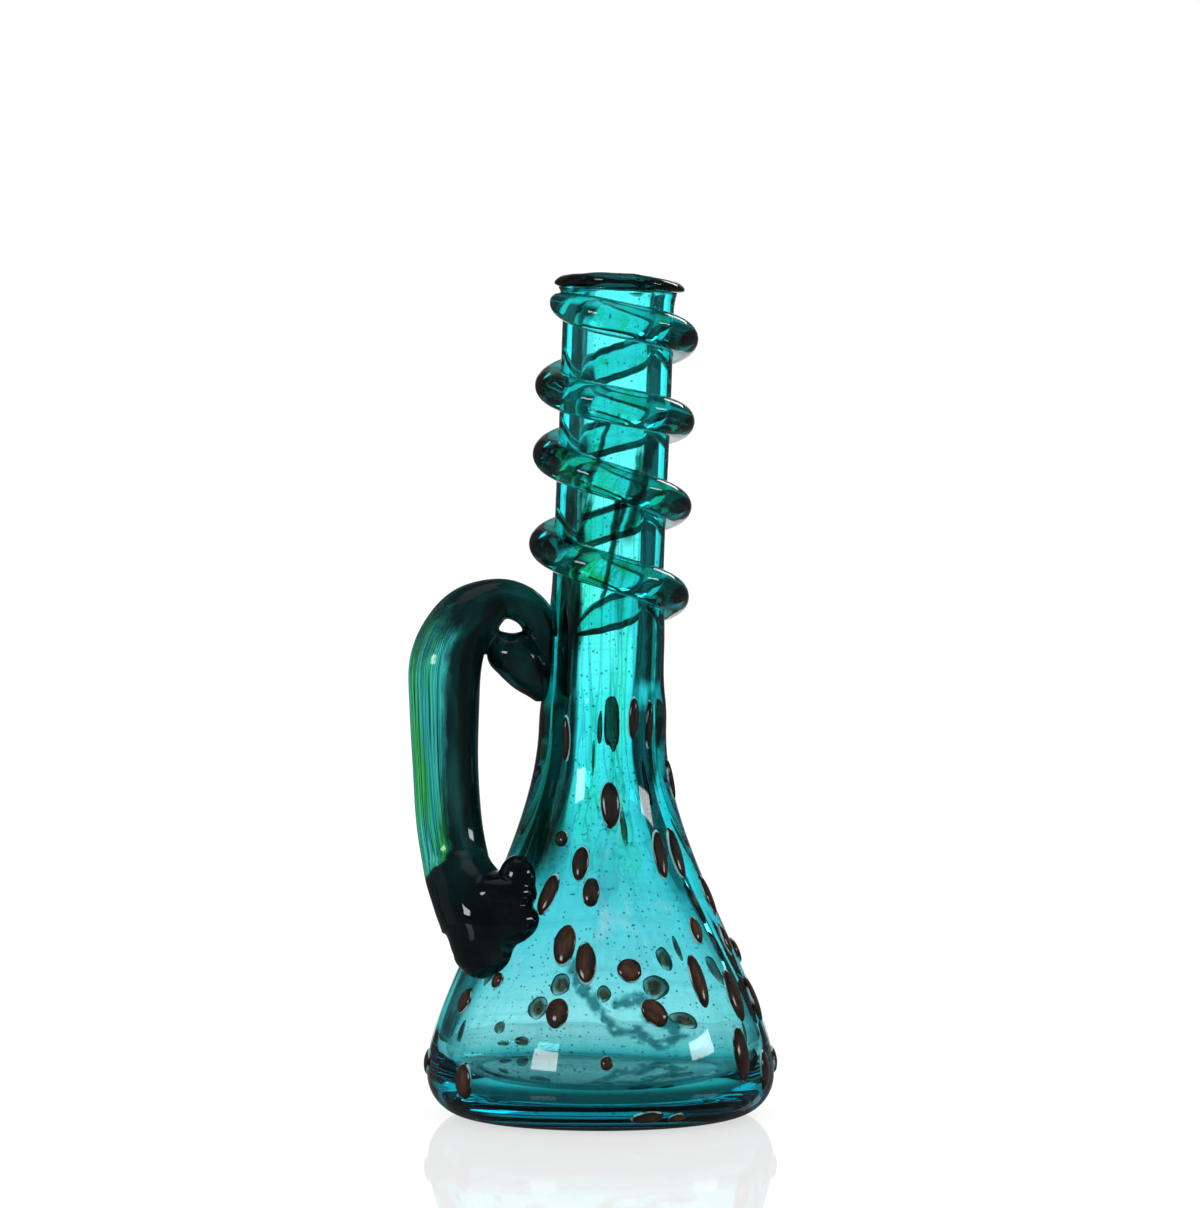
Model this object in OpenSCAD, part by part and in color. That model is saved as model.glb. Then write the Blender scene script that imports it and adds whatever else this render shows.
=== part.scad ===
// Hand-blown glass bottle with a long neck, a spiral trail wound round the neck,
// a folded loop handle and chips of brown glass fused to its outside.
// Millimetres, +Z up. The origin is the middle of the ring that it stands on.

/* [Body] */
// Greatest radius of the body
belly_r = 51.7; // [46:0.1:56]
// Radius of the rounded corner between the base and the side
heel_r = 12; // [9:0.5:14]
// Width of the flat ring that the bottle stands on
foot_ring_w = 4; // [2:0.5:8]
// Height of the hollow under the base
kick_h = 2.5; // [1:0.5:4]
// Thickness of the floor at the middle, above the hollow
floor_t = 6; // [4:0.5:9]
// Thickness of the wall at the belly
wall_t = 4.6; // [3:0.1:6]
// Height at which the shoulder has become the root of the neck
root_z = 116; // [110:1:122]
// Radius of the body where the shoulder ends
root_r = 19; // [18:0.1:21]

/* [Neck] */
// Outer radius of the neck
neck_r = 16.5; // [15.5:0.1:17.5]
// Radius of the passage through the neck
bore_r = 10.7; // [9:0.1:12]
// Lean of the neck towards +X, in degrees
neck_lean = 2.2; // [0:0.1:4]
// Height at which the neck starts to lean
lean_z = 100; // [96:1:104]
// Height of the whole bottle, at the axis of the mouth
total_h = 250; // [240:1:260]

/* [Lip] */
// Greatest radius of the lip bead
lip_r = 19.4; // [18.5:0.1:21]
// Height of the lip bead
lip_h = 4; // [3:0.5:5]
// How far the top of the lip rises and falls
lip_wave = 0.8; // [0:0.1:1.5]

/* [Neck trail] */
// Height from one turn of the trail to the next
trail_pitch = 24.8; // [22:0.1:25]
// Height of the trail's section along the neck
trail_w = 11; // [8:0.5:14]
// How far the trail stands out from the neck
trail_t = 7.5; // [5:0.1:9]
// Turns of the trail from its upper end to its lower end
trail_turns = 3.95; // [3:0.05:4]

/* [Handle] */
// Thickness of the handle, as a share of the cane's own thickness
handle_scale = 1; // [0.9:0.01:1.05]

/* [Chips] */
// How far a chip stands out from the wall
chip_t = 1.1; // [0.6:0.1:1.6]

/* [Hidden] */
$fn = 96;

gap = 0.12;                     // room left between fused pieces, so that they never overlap
handle_gap = 0.4;               // the same under the handle, whose facets are wider
arc_steps = 8;
flank_steps = 16;

// ---- outlines, as [radius, height] -------------------------------------------------------
function arc(c, r, a0, a1) =
    [for (i = [0:arc_steps]) let (a = a0 + (a1 - a0) * i / arc_steps) c + r * [cos(a), sin(a)]];
function bezier(p0, p1, p2, p3, steps) =
    [for (i = [1:steps]) let (t = i / steps, u = 1 - t)
        u*u*u*p0 + 3*u*u*t*p1 + 3*u*t*t*p2 + t*t*t*p3];

flank_rise = 25;                // how far the side keeps rising before it turns in
shoulder_drop = 37;             // how far below the root the shoulder starts to flatten
collar_top = [16.2, 140];       // end of the cone that carries the shoulder into the neck
outer_side = concat(
    arc([belly_r - heel_r, heel_r], heel_r, -90, 0),
    bezier([belly_r, heel_r], [belly_r, heel_r + flank_rise],
           [root_r, root_z - shoulder_drop], [root_r, root_z], flank_steps),
    [collar_top]);
outer_outline = concat(
    [[0, kick_h], [(belly_r - heel_r) * 0.5, kick_h * 0.75], [belly_r - heel_r - foot_ring_w, 0]],
    outer_side, [[0, collar_top[1]]]);

in_heel_r = 10;
in_belly_r = belly_r - wall_t;
in_floor_z = kick_h + floor_t;
throat = [bore_r + 0.6, 111];
throat_top = [bore_r - 1.8, 123];
inner_outline = concat(
    [[0, in_floor_z]],
    arc([in_belly_r - in_heel_r, in_floor_z - 0.5 + in_heel_r], in_heel_r, -90, 0),
    bezier([in_belly_r, in_floor_z - 0.5 + in_heel_r], [in_belly_r, in_floor_z + in_heel_r + 20],
           [throat[0], throat[1] - 36], throat, flank_steps),
    [throat_top, [0, throat_top[1]]]);

// ---- the neck's own frame: along its leaning axis, from the height where the lean starts ----
neck_len = (total_h - lean_z) / cos(neck_lean) - lip_h;     // neck up to the lip
swell = 1;                      // how much thicker the neck is below the trail
neck_side = [[-8, neck_r + swell], [47, neck_r + swell * 0.9], [62, neck_r],
             [neck_len - 5, neck_r], [neck_len, neck_r + 1.6]];     // [height, radius]
function neck_side_r(h) = lookup(h, neck_side);
module in_neck_frame() translate([0, 0, lean_z]) rotate([0, neck_lean, 0]) children();
function to_neck(p) = let (z = p[2] - lean_z)
    [p[0] * cos(neck_lean) - z * sin(neck_lean), p[1], p[0] * sin(neck_lean) + z * cos(neck_lean)];
function from_neck(q) =
    [q[0] * cos(neck_lean) + q[2] * sin(neck_lean), q[1],
     -q[0] * sin(neck_lean) + q[2] * cos(neck_lean) + lean_z];

// ---- radius of the outside at a height, and a point moved out of the glass ----
side_by_height = [for (p = outer_side) [p[1], p[0]]];
function side_r(z) = lookup(z, side_by_height);
function clear_of_body(p, room) = let (rho = norm([p[0], p[1]]), least = side_r(p[2]) + room)
    rho < least && p[2] < collar_top[1] ? [p[0] * least / rho, p[1] * least / rho, p[2]] : p;
function clear_of_neck(p, room) = let (
        q = to_neck(p), rho = norm([q[0], q[1]]), least = neck_side_r(q[2]) + room)
    rho < least && q[2] > 0 ? from_neck([q[0] * least / rho, q[1] * least / rho, q[2]]) : p;
function clear_of_vessel(p, room) = clear_of_neck(clear_of_body(p, room), room);

// ---- solids made of rings of points ----
module ring_solid(rings, closed = false) {
    n = len(rings[0]);
    m = len(rings);
    sides = [for (i = [0:(closed ? m - 1 : m - 2)]) for (j = [0:n - 1])
        let (a = i * n + j, b = i * n + (j + 1) % n,
             c = ((i + 1) % m) * n + (j + 1) % n, d = ((i + 1) % m) * n + j)
        each [[a, c, b], [a, d, c]]];
    caps = closed ? [] : [[for (j = [0:n - 1]) j], [for (j = [n - 1:-1:0]) (m - 1) * n + j]];
    polyhedron(points = [for (r = rings) each r], faces = concat(sides, caps), convexity = 8);
}

// ---- vessel ----
module vessel() color([0.27, 0.72, 0.74, 0.55]) difference() {
    union() {
        rotate_extrude() polygon(outer_outline);
        in_neck_frame() rotate_extrude()
            polygon(concat([[0, neck_side[0][0]]], [for (p = neck_side) [p[1], p[0]]],
                           [[0, neck_len]]));
    }
    rotate_extrude() polygon(inner_outline);
    in_neck_frame() translate([0, 0, 5]) cylinder(r = bore_r, h = neck_len);
}

// ---- lip: a thick wavy bead fused on the end of the neck ----
lip_steps = 48;
lip_sides = 12;
lip_in_r = bore_r + 0.5;
function lip_top(a) = lip_h - lip_wave * (0.75 * cos(2 * a) + 0.4 * cos(a));
function lip_ring(a) = let (mid = (lip_r + lip_in_r) / 2, half = (lip_r - lip_in_r) / 2)
    [for (j = [0:lip_sides - 1]) let (t = -360 * j / lip_sides,
        rho = mid + half * cos(t),
        h = neck_len + gap + lip_top(a) * (0.5 + 0.5 * sin(t)))
        from_neck([rho * cos(a), rho * sin(a), h])];
module lip_wrap() color([0.03, 0.25, 0.28])
    ring_solid([for (i = [0:lip_steps - 1]) lip_ring(360 * i / lip_steps)], closed = true);

// ---- trail: one thick thread of glass wound down the neck ----
trail_steps = 27;               // rings in one turn
trail_sides = 10;
trail_start_a = 165;            // angle of the upper end, from +X
// How far below the lip the middle of the trail is after so many turns, in pitches.
trail_drop = [[-0.1, 0.17], [0, 0.2], [0.5, 0.6], [1, 1.2], [1.5, 1.58], [2, 2.02],
              [2.5, 2.6], [3, 3.1], [3.5, 3.67], [4, 4.3]];
trail_taper = 0.07;             // share of the length that tapers, at each end
trail_rings = round(trail_turns * trail_steps);
function trail_swell(s) = sin(90 * min(1, (s + 0.012) / trail_taper, (1.012 - s) / trail_taper));
function trail_height(a) = neck_len - trail_pitch * lookup((a - 180) / 360, trail_drop);
function trail_ring(i) = let (
        s = i / trail_rings,
        a = trail_start_a + 360 * trail_turns * s,
        k = trail_swell(s),
        mid = trail_height(a))
    [for (j = [0:trail_sides - 1]) let (t = -360 * j / trail_sides,
        out = max(0, k * trail_t * (0.28 + 0.72 * cos(t))),
        h = mid + k * trail_w / 2 * sin(t),
        rho = (neck_side_r(h) + gap) / cos(180 / trail_steps) + out)
        from_neck([rho * cos(a), rho * sin(a), h])];
module neck_trail() color([0.02, 0.42, 0.42])
    ring_solid([for (i = [0:trail_rings]) trail_ring(i)]);

// ---- handle: one thick cane, from a blob on the shoulder, up, over and on to the neck ----
// Each row is a point of the cane's middle line and the cane's radius there.
handle_route = [
    [-38,   -22,   45,    4.4],
    [-36.4, -24.5, 50.5,  10],
    [-35,   -23.5, 58.5,  14.2],
    [-38,   -21,   66,    13],
    [-41.2, -17.5, 72.5,  10.7],
    [-43,   -14.5, 78,    10],
    [-44.8, -12.6, 89,    9.8],
    [-45.8, -12,   105,   9.8],
    [-46.1, -12,   122,   10.4],
    [-45.7, -11,   135,   10.8],
    [-42.2, -8.5,  144.4, 9.9],
    [-36.6, -6,    150.2, 8.9],
    [-29,   -4.5,  151.6, 8.4],
    [-23.2, -3.5,  147.4, 8.8],
    [-22.2, -3,    138,   9],
    [-20.8, -3,    130.5, 6.6],
    [-18.6, -3,    125.5, 3.4]];
handle_sides = 14;
span_steps = 4;
function catmull(a, b, c, d, t) =
    0.5 * (2*b + (c - a)*t + (2*a - 5*b + 4*c - d)*t*t + (3*b - 3*c + d - a)*t*t*t);
function smooth_route(rows) = let (n = len(rows)) concat(
    [for (i = [0:n - 2]) for (k = [0:span_steps - 1])
        catmull(rows[max(i - 1, 0)], rows[i], rows[i + 1], rows[min(i + 2, n - 1)], k / span_steps)],
    [rows[n - 1]]);
function unit(v) = v / norm(v);
function place(row) = [row[0], row[1], row[2]];
function cane_ring(row, along) = let (
        u = unit(cross([0, 1, 0], along)), v = cross(along, u), r = row[3] * handle_scale)
    [for (j = [0:handle_sides - 1]) let (t = 360 * j / handle_sides)
        clear_of_vessel(place(row) + r * (cos(t) * u + sin(t) * v), handle_gap)];
module handle() color([0.02, 0.36, 0.38]) {
    rows = smooth_route(handle_route);
    last = len(rows) - 1;
    ring_solid([for (i = [0:last])
        cane_ring(rows[i], unit(place(rows[min(i + 1, last)]) - place(rows[max(i - 1, 0)])))]);
}

// ---- chips: low oval lenses of glass that lie on the wall ----
// Each row: angle from the front (-Y) towards +X, height, length, width, tilt of the long side.
chip_sides = 10;
chip_rings = [0, 0.5, 0.85, 1];
function on_wall(angle, z, out) = let (q = side_r(z) + gap + out)
    clear_of_neck([q * sin(angle), -q * cos(angle), z], gap + out);
function chip_point(c, f, t, out) = let (
        u = c[2] / 2 * f * cos(t), v = c[3] / 2 * f * sin(t),
        r = side_r(c[1]),
        slope = atan2(side_r(c[1] - 2) - side_r(c[1] + 2), 4),
        along = u * cos(c[4]) - v * sin(c[4]),
        across = u * sin(c[4]) + v * cos(c[4]))
    on_wall(c[0] + across / r * 180 / PI, c[1] + along * cos(slope), out);
module chip(c) {
    m = len(chip_rings) - 1;
    n = chip_sides;
    function layer(side) = [for (k = [1:m]) for (j = [0:n - 1])
        chip_point(c, chip_rings[k], 360 * j / n,
                   side * chip_t * sqrt(1 - pow(chip_rings[k], 2) * 0.96))];
    top = concat([chip_point(c, 0, 0, chip_t)], layer(1));
    under = [chip_point(c, 0, 0, 0), for (k = [1:m - 1]) for (j = [0:n - 1])
        chip_point(c, chip_rings[k], 360 * j / n, 0)];
    rim = 1 + (m - 1) * n;                  // first point of the shared outer ring
    base = len(top);
    function lower(k, j) = k == m ? rim + j % n : base + 1 + (k - 1) * n + j % n;
    function upper(k, j) = 1 + (k - 1) * n + j % n;
    faces = [for (j = [0:n - 1]) each concat(
        [[0, upper(1, j), upper(1, j + 1)], [base, lower(1, j + 1), lower(1, j)]],
        [for (k = [1:m - 1]) each [
            [upper(k, j), upper(k + 1, j + 1), upper(k, j + 1)],
            [upper(k, j), upper(k + 1, j), upper(k + 1, j + 1)],
            [lower(k, j), lower(k, j + 1), lower(k + 1, j + 1)],
            [lower(k, j), lower(k + 1, j + 1), lower(k + 1, j)]]])];
    polyhedron(points = concat(top, under), faces = faces, convexity = 4);
}
module chips(rows, tint) color(tint) for (c = rows) chip(c);

brown = [0.22, 0.06, 0.04];
faded = [0.34, 0.24, 0.16];
neck_chip_rows = [
    [28, 119, 13, 3.6, 2], [46, 117, 15, 2.6, 4], [-34, 113, 14, 3, -4],
    [183, 113, 9, 3.6, 0], [166, 114, 15, 6, 3], [240, 118, 10, 3.2, -3]];
shoulder_front_rows = [
    [7, 94, 14.6, 6, -2], [40, 79, 15.5, 5, 4], [55, 79, 16, 5.5, 2], [78, 100, 13, 4, 0],
    [-27, 84, 5, 4.4, 0], [-12, 77, 11, 5.2, 3], [-5, 69, 9, 5.4, 0], [-29, 68, 13, 5.4, 12],
    [76, 66, 13, 6, 0]];
shoulder_back_rows = [
    [193, 105, 11, 1.6, 0], [157, 85, 11, 3.5, -3], [114, 82, 13, 5, 2], [236, 88, 12, 4.4, -2],
    [250, 70, 10, 5, 2]];
belly_front_rows = [
    [-16, 54, 13, 7, 4], [-6, 49, 13, 6.4, -3], [12, 47, 7.6, 7.4, -20], [50, 57, 9, 5, 4],
    [42, 43, 17, 5.6, -2], [74, 53, 10, 5, 2], [88, 49, 8, 5, 0], [61, 38, 16, 7.4, 0],
    [-61, 36, 8, 6.4, 10], [-45, 43, 5, 4.4, 20], [20, 35, 10, 7.4, -38], [-16, 35, 9.4, 7, 0],
    [80, 35, 15, 7, 3]];
belly_back_rows = [
    [157, 37, 9, 8, -8], [151, 46, 8, 4.6, 6], [141, 50, 8.6, 3.8, 0], [197, 39, 8, 7, 6],
    [120, 44, 11, 6, -4], [242, 46, 11, 6, 3]];
lower_front_rows = [
    [55, 21, 17, 7.4, 3], [70, 15, 12, 7, 0], [91, 16, 8, 6, 4], [2, 21, 4.4, 4, 0],
    [-51, 13.5, 11, 8, -2], [-86, 16, 8, 6, 0]];
lower_back_rows = [
    [148, 25, 10.6, 6.4, 70], [206, 31, 10, 9, 14], [220, 23, 6, 3.8, 0], [211, 15, 6, 5.4, 8],
    [218, 14, 3.8, 4.6, 0], [177, 35, 6.4, 6, 0], [112, 22, 11, 6, -4], [250, 24, 11, 6, 4]];
base_rows = [[16, 5, 9.8, 4.4, 84], [27, 4.6, 6, 3, 80]];

module neck_chips() chips(neck_chip_rows, brown);
module shoulder_chips_front() chips(shoulder_front_rows, brown);
module shoulder_chips_back() chips(shoulder_back_rows, faded);
module belly_chips_front() chips(belly_front_rows, brown);
module belly_chips_back() chips(belly_back_rows, faded);
module lower_chips_front() chips(lower_front_rows, brown);
module lower_chips_back() chips(lower_back_rows, faded);
module base_chips() chips(base_rows, brown);

vessel();
lip_wrap();
neck_trail();
handle();
neck_chips();
shoulder_chips_front();
shoulder_chips_back();
belly_chips_front();
belly_chips_back();
lower_chips_front();
lower_chips_back();
base_chips();
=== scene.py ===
"""Looks for a hand-blown glass bottle: clear turquoise glass with a trail, a looped handle and chips.

Shapes are worked out in millimetres and become metres where a mesh is made. The materials read the
object's own coordinates, which are in metres. +Z is up.
"""
import math

import bmesh
import bpy
import numpy as np
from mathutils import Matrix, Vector, noise


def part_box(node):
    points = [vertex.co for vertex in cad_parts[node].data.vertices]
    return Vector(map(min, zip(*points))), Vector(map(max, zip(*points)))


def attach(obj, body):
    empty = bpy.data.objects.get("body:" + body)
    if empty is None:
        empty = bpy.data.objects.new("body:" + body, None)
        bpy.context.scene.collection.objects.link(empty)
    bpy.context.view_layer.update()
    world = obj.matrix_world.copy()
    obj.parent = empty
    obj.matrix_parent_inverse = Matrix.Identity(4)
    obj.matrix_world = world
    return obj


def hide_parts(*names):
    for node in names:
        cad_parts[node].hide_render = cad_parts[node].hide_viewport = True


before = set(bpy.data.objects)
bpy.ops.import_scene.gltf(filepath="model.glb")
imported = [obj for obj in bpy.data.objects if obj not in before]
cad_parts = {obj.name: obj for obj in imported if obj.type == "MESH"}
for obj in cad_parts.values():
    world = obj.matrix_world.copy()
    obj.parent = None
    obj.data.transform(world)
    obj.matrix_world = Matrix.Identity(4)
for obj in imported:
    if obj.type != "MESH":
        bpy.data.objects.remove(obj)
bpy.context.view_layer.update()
MM = 0.001
TAU = 2 * math.pi


# ---- sizes; the widest radius is read from the frame -------------------------------------
def box_mm(node):
    low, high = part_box(node)
    return np.array(low) / MM, np.array(high) / MM


belly_r = box_mm("vessel")[1][0]
total_h = 250.0                 # from the table to the top of the lip
heel_r = 12.0                   # rounding between the foot and the side
foot_ring_w = 4.0               # width of the flat ring it stands on
kick_h = 2.5                    # how far the base is pushed up inside the ring
floor_t = 6.0
wall_t = 4.6
in_heel_r = 10.0                # rounding between the inner floor and the wall
root_r, root_z = 19.0, 116.0    # where the shoulder becomes the neck
neck_r = 16.5
bore_r = 10.7
lean = math.radians(2.2)        # the neck leans towards +X above lean_z
lean_z = 100.0
lip_h = 4.0
lip_r = 19.4
sink = 0.6                      # how deep a fused piece reaches into the wall


# ---- the camera --------------------------------------------------------------------------
camera_back = 1900.0
camera_height = 250.6
camera_pitch = math.radians(2.973)
camera_x = -0.15
view_angle = math.radians(10.77)


def make_camera():
    data = bpy.data.cameras.new("camera")
    data.sensor_fit = "VERTICAL"
    data.angle = view_angle
    data.clip_start = 0.05
    data.clip_end = 100
    cam = bpy.data.objects.new("camera", data)
    cam.location = (camera_x * MM, -camera_back * MM, camera_height * MM)
    cam.rotation_euler = (math.pi / 2 - camera_pitch, 0, 0)
    bpy.context.scene.collection.objects.link(cam)
    bpy.context.scene.camera = cam


make_camera()


# ---- small tools -------------------------------------------------------------------------
def bezier(p0, p1, p2, p3, steps):
    t = np.linspace(0, 1, steps + 1)[1:, None]
    u = 1 - t
    p0, p1, p2, p3 = (np.array(p, float) for p in (p0, p1, p2, p3))
    return u**3 * p0 + 3 * u * u * t * p1 + 3 * u * t * t * p2 + t**3 * p3


def arc(centre, radius, start, end, steps):
    a = np.radians(np.linspace(start, end, steps + 1))[:, None]
    return np.array(centre, float) + radius * np.hstack([np.cos(a), np.sin(a)])


def smooth_route(rows, steps):
    """A Catmull-Rom curve through rows of numbers."""
    rows = np.array(rows, float)
    last = len(rows) - 1
    t = np.linspace(0, 1, steps, endpoint=False)[:, None]
    parts = []
    for i in range(last):
        a, b, c, d = rows[max(i - 1, 0)], rows[i], rows[i + 1], rows[min(i + 2, last)]
        parts.append(0.5 * (2 * b + (c - a) * t + (2 * a - 5 * b + 4 * c - d) * t**2
                            + (3 * b - 3 * c + d - a) * t**3))
    return np.vstack(parts + [rows[-1:]])


def ripple(x, y, z, seed=0.0):
    """Smooth noise from -1 to 1."""
    return noise.noise(Vector((x + seed * 17.3, y - seed * 9.1, z + seed * 5.7)))


def lean_shift(z):
    """How far the axis has moved towards +X at a height: none below, a straight lean above."""
    softness = 8.0
    return math.tan(lean) * softness * np.logaddexp(0, (z - lean_z) / softness)


def from_neck(q):
    """A point in the neck's own leaning frame, in the bottle's frame."""
    c, s = math.cos(lean), math.sin(lean)
    return np.stack([q[..., 0] * c + q[..., 2] * s, q[..., 1],
                     q[..., 2] * c - q[..., 0] * s + lean_z], axis=-1)


WELD = 1e-7                     # metres; points closer than this become one


def new_piece(name, points, faces, smooth=True, weld=True):
    """A mesh object from points in millimetres."""
    mesh = bpy.data.meshes.new(name)
    mesh.from_pydata((np.asarray(points) * MM).tolist(), [], faces)
    if weld:
        mesh.validate()
    bm = bmesh.new()
    bm.from_mesh(mesh)
    if weld:
        bmesh.ops.remove_doubles(bm, verts=bm.verts, dist=WELD)
    bmesh.ops.recalc_face_normals(bm, faces=bm.faces)
    bm.to_mesh(mesh)
    bm.free()
    if smooth:
        mesh.polygons.foreach_set("use_smooth", [True] * len(mesh.polygons))
    piece = bpy.data.objects.new(name, mesh)
    bpy.context.scene.collection.objects.link(piece)
    return piece


def ring_faces(rings, sides, closed=False, caps=True):
    """Quads between rings of points, and an end cap on each end of an open tube."""
    faces = []
    for i in range(rings if closed else rings - 1):
        k = (i + 1) % rings
        for j in range(sides):
            m = (j + 1) % sides
            faces.append((i * sides + j, i * sides + m, k * sides + m, k * sides + j))
    if caps and not closed:
        faces.append(tuple(range(sides))[::-1])
        faces.append(tuple((rings - 1) * sides + j for j in range(sides)))
    return faces


def mark(piece, name, values):
    """Stores a vector for each vertex, for the materials to read."""
    layer = piece.data.attributes.new(name, "FLOAT_VECTOR", "POINT")
    layer.data.foreach_set("vector", np.asarray(values, dtype=np.float32).ravel())


def points_mm(mesh):
    co = np.empty(len(mesh.vertices) * 3)
    mesh.vertices.foreach_get("co", co)
    return co.reshape(-1, 3) / MM


# ---- the vessel's outlines, as radius and height -------------------------------------------
neck_len = (total_h - lean_z) / math.cos(lean) - lip_h
neck_top = neck_len + lean_z
# The side, upwards: heel, body, root of the neck (in two curves), neck, and the flare at its end
flank = np.vstack([
    arc((belly_r - heel_r, heel_r), heel_r, -90, 0, 24),
    bezier((belly_r, heel_r), (belly_r, heel_r + 25), (root_r, root_z - 37), (root_r, root_z), 60),
    bezier((root_r, root_z), (root_r - 0.1, root_z + 9), (neck_r + 1.1, root_z + 8),
           (neck_r + 1, root_z + 20), 12),
    bezier((neck_r + 1, root_z + 20), (neck_r + 1, root_z + 34), (neck_r, root_z + 36),
           (neck_r, root_z + 48), 20),
    [(neck_r, z) for z in np.linspace(root_z + 50, neck_top - 9, 60)],
    bezier((neck_r, neck_top - 8), (neck_r, neck_top - 4.5), (neck_r + 0.7, neck_top - 2),
           (neck_r + 1.7, neck_top), 10)])
ring_in_r = belly_r - heel_r - foot_ring_w
underside = [(r, kick_h * (1 - (r / ring_in_r) ** 2) ** 0.8)
             for r in np.linspace(0, ring_in_r, 26)]
mid_ring = [(belly_r - heel_r - 1.5, 0)]
outer_outline = np.array(underside + mid_ring + flank.tolist())

in_belly_r = belly_r - wall_t
in_floor_z = kick_h + floor_t
# The inside, upwards: dished floor, heel, wall, bore, and the eased end of the bore
inner_outline = np.vstack([
    [(r, in_floor_z + 0.8 * (r / 30) ** 2 - 0.5) for r in np.linspace(0, in_belly_r - in_heel_r, 20)],
    arc((in_belly_r - in_heel_r, in_floor_z + in_heel_r), in_heel_r, -86, 0, 20),
    bezier((in_belly_r, in_floor_z + in_heel_r), (in_belly_r, in_floor_z + in_heel_r + 20),
           (bore_r + 0.3, 75), (bore_r + 0.3, 112), 90),
    [(bore_r, z) for z in np.linspace(116, neck_top - 3, 70)],
    [(bore_r + 0.3, neck_top - 1), (bore_r + 0.8, neck_top)]])


def side_r(z):
    """Radius of the smooth outer side at a height."""
    return np.interp(z, flank[:, 1], flank[:, 0])


def outer_wobble(angle, z):
    """Small unevenness of the outside of the blown wall."""
    c, s = math.cos(angle), math.sin(angle)
    broad = 0.28 * ripple(c * 1.1, s * 1.1, z / 45, 1)
    ribs = 0.10 * ripple(c * 4, s * 4, z / 90, 2)
    return broad + ribs


def crease(x, z, route, width):
    """How close a point is to a drawn crease: 1 on it, falling to 0 beside it."""
    best = 1e9
    for (x0, z0), (x1, z1) in zip(route, route[1:]):
        dx, dz = x1 - x0, z1 - z0
        t = max(0.0, min(1.0, ((x - x0) * dx + (z - z0) * dz) / (dx * dx + dz * dz)))
        best = min(best, math.hypot(x - x0 - t * dx, z - z0 - t * dz))
    return math.exp(-(best / width) ** 2)


# Creases on the inside of the back wall, as x and height, and their half width
crease_w = 1.9
crease_top = 52
CREASES = [[(-12, 45), (-8, 39), (-2, 33), (2, 26), (7, 20)],
           [(8, 31), (13, 33), (18, 30), (16, 26), (21, 25), (24, 19), (20, 15), (14, 17), (12, 21)]]


def inner_wobble(angle, z):
    """Unevenness of the inside: slow swells, long ribs in the neck, and two creases at the back."""
    c, s = math.cos(angle), math.sin(angle)
    low = min(1.0, max(0.0, (z - 12) / 12))
    narrow = min(1.0, max(0.0, (130 - z) / 40))
    swell = (0.12 + 0.4 * narrow) * ripple(c * 1.3, s * 1.3, z / 38, 3) * low
    ribs = (0.03 + 0.12 * narrow) * ripple(c * 5, s * 5, z / 70, 4) * low
    return swell + ribs - 0.6 * fold_at(angle, z)


def fold_at(angle, z):
    """How strongly a point of the inside lies on one of the creases at the back."""
    if math.sin(angle) < 0.4 or z > crease_top:
        return 0.0
    x = in_belly_r * math.cos(angle)
    strength = min(1.0, sum(crease(x, z, route, crease_w) for route in CREASES))
    return strength * (0.7 + ripple(x / 2, z / 2, 0, 5))


def lathe(outline, wobble, steps):
    """An outline turned about the leaning axis, made uneven by a function of angle and height."""
    rings = []
    angles = np.linspace(0, TAU, steps, endpoint=False)
    for r, z in outline:
        shift = lean_shift(z)
        if r < 1e-6:
            rings.append(np.tile([shift, 0, z], (steps, 1)))
            continue
        radii = np.array([r + wobble(a, z) * min(1, r / 8) for a in angles])
        rings.append(np.stack([radii * np.cos(angles) + shift, radii * np.sin(angles),
                               np.full(steps, z)], axis=-1))
    return np.vstack(rings)


def make_vessel():
    steps = 288
    outside = lathe(outer_outline, outer_wobble, steps)
    foot = outer_outline[:, 1] < 0.01
    outside[np.repeat(foot, steps), 2] = 0
    inside = lathe(inner_outline[::-1], inner_wobble, steps)
    points = np.vstack([outside, inside])
    rings = len(outer_outline) + len(inner_outline)
    piece = new_piece("vessel_glass", points, ring_faces(rings, steps, caps=False))
    folds = []
    for x, y, z in points_mm(piece.data):
        back_wall = y > 20 and z < crease_top and math.hypot(x, y) < side_r(z) - 2
        folds.append((fold_at(math.atan2(y, x), z) if back_wall else 0.0, 0.0, 0.0))
    mark(piece, "painted_crease_shade", folds)
    return piece


# ---- lip, trail and handle -----------------------------------------------------------------
def make_lip():
    """A thin wavy bead, fused on the flared end of the neck and darker at its edge."""
    steps, sides = 192, 32
    in_r, out_r = bore_r + 0.4, lip_r
    points = []
    for i in range(steps):
        a = TAU * i / steps
        c, s = math.cos(a), math.sin(a)
        top = lip_h - 0.6 - 0.35 * c - 0.7 * math.cos(2 * a) + 0.25 * ripple(c * 3, s * 3, 0, 6)
        bottom = -0.9 - 0.3 * c + 0.5 * ripple(c * 2.5, s * 2.5, 1, 7)
        droop = 0.9 * abs(c) ** 3
        mid = (in_r + out_r) / 2
        half = (out_r - in_r) / 2 * (1 + 0.03 * ripple(c * 2, s * 2, 4, 8))
        for j in range(sides):
            t = TAU * j / sides
            across = math.copysign(abs(math.cos(t)) ** 0.85, math.cos(t))
            h = (top + bottom) / 2 + (top - bottom) / 2 * math.sin(t) - droop * max(0, across) ** 2
            rho = mid + half * across
            points.append((rho * c, rho * s, neck_len + h))
    return new_piece("lip_bead", from_neck(np.array(points)), ring_faces(steps, sides, closed=True))


trail_pitch = 24.8
trail_start = math.radians(165)
trail_turns = 3.95
trail_half_w, trail_half_t = 5.6, 6.3
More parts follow.
